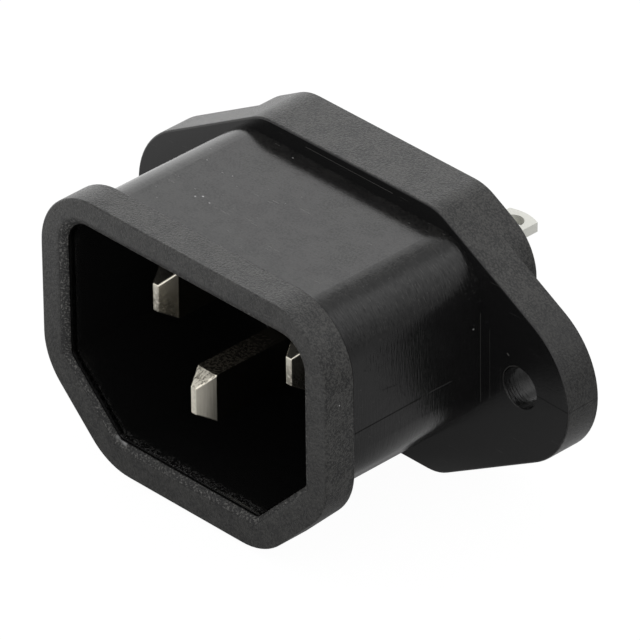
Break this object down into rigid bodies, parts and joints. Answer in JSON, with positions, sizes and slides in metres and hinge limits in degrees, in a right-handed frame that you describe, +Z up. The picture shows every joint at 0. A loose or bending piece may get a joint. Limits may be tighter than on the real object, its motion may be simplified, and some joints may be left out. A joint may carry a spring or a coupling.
{
  "type": "mains inlet socket",
  "caption": "Panel inlet socket with a rimmed plug cavity, flat contacts, screw ears on its flange and solder tags behind.",
  "frame": {"origin": "midway between the two screw holes, on the front face of the flange, which meets the back of the panel", "axes": "+X to the right as seen from the plug side, -Y towards the plug, +Z up with the earth contact and the cut corners below"},
  "size_m": [0.0454, 0.0292, 0.023],
  "materials": {
    "moulding": "fine spark texture, black",
    "contact": "nickel plated, drawn and lightly scratched"
  },
  "bodies": {
    "root": {"housing": "moulding", "line_pin": "contact", "neutral_pin": "contact", "earth_pin": "contact"}
  },
  "joints": []
}
